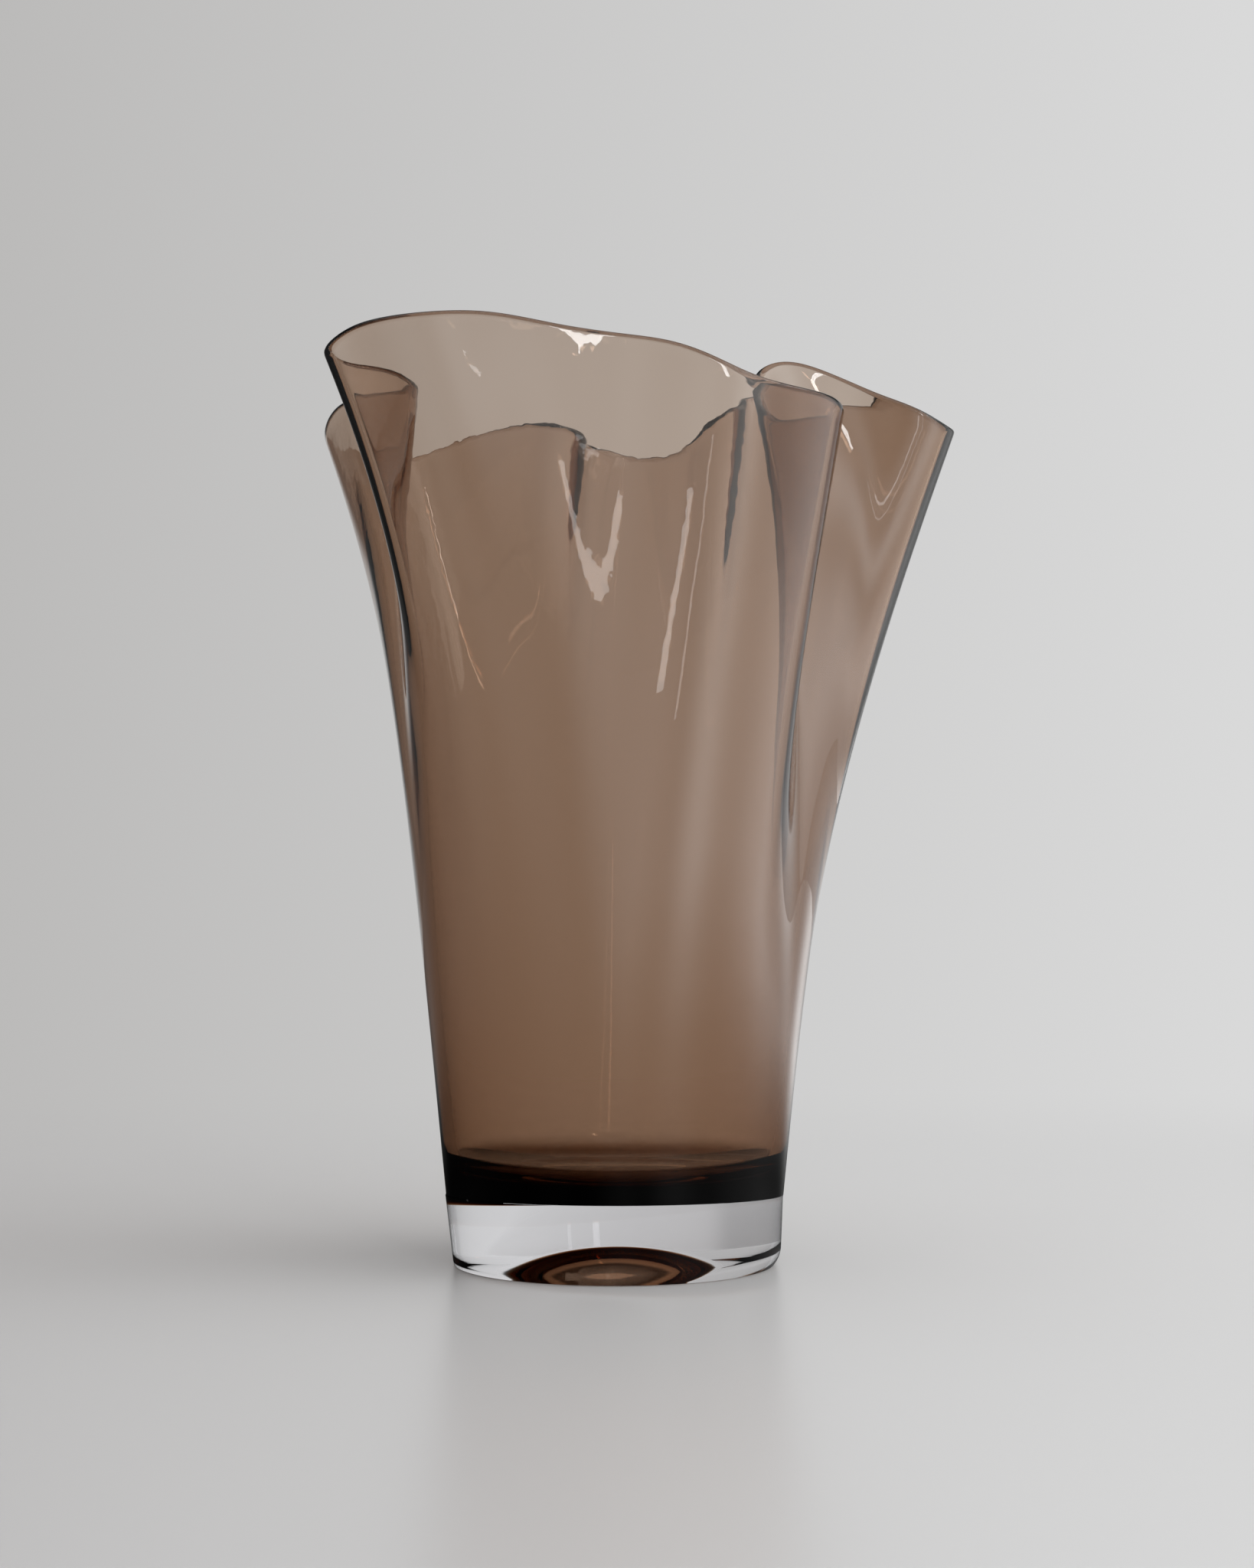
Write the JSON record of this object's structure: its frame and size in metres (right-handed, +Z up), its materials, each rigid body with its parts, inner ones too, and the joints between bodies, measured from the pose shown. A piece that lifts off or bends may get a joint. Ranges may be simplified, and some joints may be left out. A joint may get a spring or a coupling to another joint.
{
  "type": "fan vase",
  "caption": "Folded fan vase: smoky brown glass bowl with a waved, pleated mouth on a thick foot of clear glass.",
  "frame": {"origin": "middle of the foot's round joint, dropped to the surface that the vase stands on", "axes": "+Z up; -Y towards the viewer of the picture, the side of the wide front lobe; +X to that viewer's right, towards the pointed right lobe"},
  "size_m": [0.1677, 0.1194, 0.2367],
  "materials": {
    "smoky_brown_glass": "polished, transparent, smoky brown",
    "clear_glass": "polished, transparent, colourless"
  },
  "bodies": {
    "root": {"tinted_bowl": "smoky_brown_glass", "clear_base": "clear_glass"}
  },
  "joints": []
}
